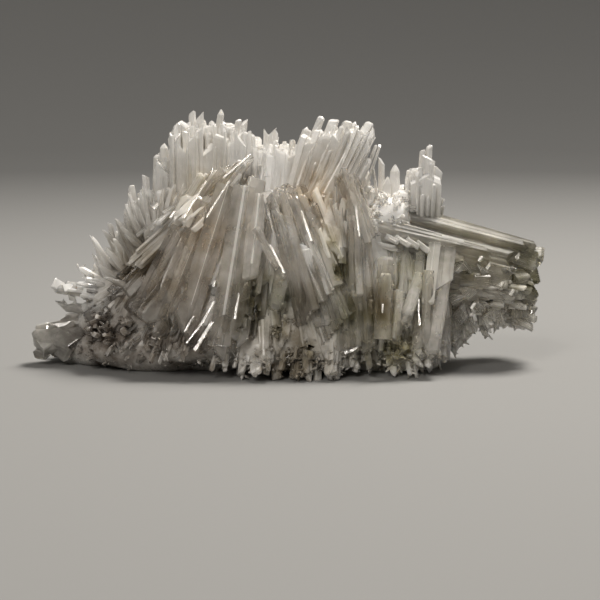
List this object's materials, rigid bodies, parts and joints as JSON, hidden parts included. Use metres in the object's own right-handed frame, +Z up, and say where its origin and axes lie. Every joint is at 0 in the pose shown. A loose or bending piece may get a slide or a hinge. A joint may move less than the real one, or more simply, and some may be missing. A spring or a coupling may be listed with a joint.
{
  "type": "scolecite crystal cluster",
  "caption": "Natural mineral specimen: sprays of slender, blunt-tipped clear to white prisms on one intergrown mass, sawn flat underneath so that it stands on a shelf.",
  "frame": {"origin": "on the sawn flat base, under the middle of the specimen's length, on the surface that it rests on", "axes": "+X along the length towards the beam of long crystals, -Y towards the best side, +Z up"},
  "size_m": [0.1208, 0.0521, 0.06],
  "materials": {
    "crystal": "clear to milky white crystal with a glassy lustre, tan and greenish in the hollows"
  },
  "bodies": {
    "root": {"crystal_cluster": "crystal"}
  },
  "joints": []
}
